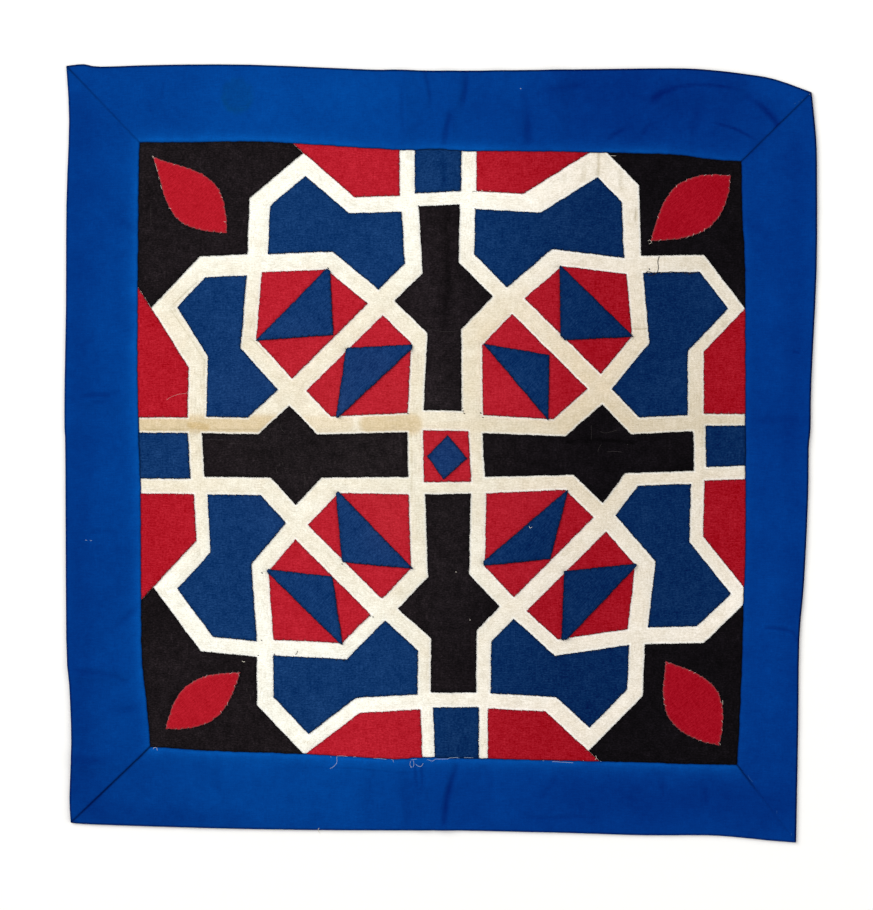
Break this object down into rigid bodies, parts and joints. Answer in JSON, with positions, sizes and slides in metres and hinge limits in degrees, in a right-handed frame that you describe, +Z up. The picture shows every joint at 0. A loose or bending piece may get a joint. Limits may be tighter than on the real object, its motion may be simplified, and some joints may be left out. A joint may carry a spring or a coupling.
{
  "type": "mini quilt",
  "caption": "Small square quilt of coloured cotton patches sewn on an off-white ground that shows between them as interlaced straps, with a mitred blue border.",
  "frame": {"origin": "on the surface that the cloth lies on, under the middle of the cloth's box", "axes": "+Z up out of the cloth's face, +Y along the cloth towards its upper edge, +X across it to the right"},
  "size_m": [0.422, 0.4363, 0.0046],
  "materials": {
    "off_white": "plain-weave cotton, matt, off-white, stained tan in places",
    "royal_blue": "plain-weave cotton, matt, royal blue",
    "navy": "plain-weave cotton, matt, navy blue",
    "red": "plain-weave cotton, matt, red",
    "black": "plain-weave cotton, matt, black"
  },
  "bodies": {
    "root": {"ground_panel": "off_white", "border_top": "royal_blue", "border_right": "royal_blue", "border_bottom": "royal_blue", "border_left": "royal_blue", "arm_top": "black", "edge_square_top": "navy", "arm_bottom": "black", "edge_square_bottom": "navy", "arm_left": "black", "edge_square_left": "navy", "arm_right": "black", "edge_square_right": "navy", "centre_square": "red", "centre_diamond": "navy", "octagon_outer_tl": "red", "triangle_outer_tl": "navy", "octagon_inner_tl": "red", "triangle_inner_tl": "navy", "kite_tl_v": "navy", "edge_red_tl_v": "red", "kite_tl_h": "navy", "edge_red_tl_h": "red", "corner_tl": "black", "leaf_tl": "red", "octagon_outer_tr": "red", "triangle_outer_tr": "navy", "octagon_inner_tr": "red", "triangle_inner_tr": "navy", "kite_tr_v": "navy", "edge_red_tr_v": "red", "kite_tr_h": "navy", "edge_red_tr_h": "red", "corner_tr": "black", "leaf_tr": "red", "octagon_outer_bl": "red", "triangle_outer_bl": "navy", "octagon_inner_bl": "red", "triangle_inner_bl": "navy", "kite_bl_v": "navy", "edge_red_bl_v": "red", "kite_bl_h": "navy", "edge_red_bl_h": "red", "corner_bl": "black", "leaf_bl": "red", "octagon_outer_br": "red", "triangle_outer_br": "navy", "octagon_inner_br": "red", "triangle_inner_br": "navy", "kite_br_v": "navy", "edge_red_br_v": "red", "kite_br_h": "navy", "edge_red_br_h": "red", "corner_br": "black", "leaf_br": "red"}
  },
  "joints": []
}
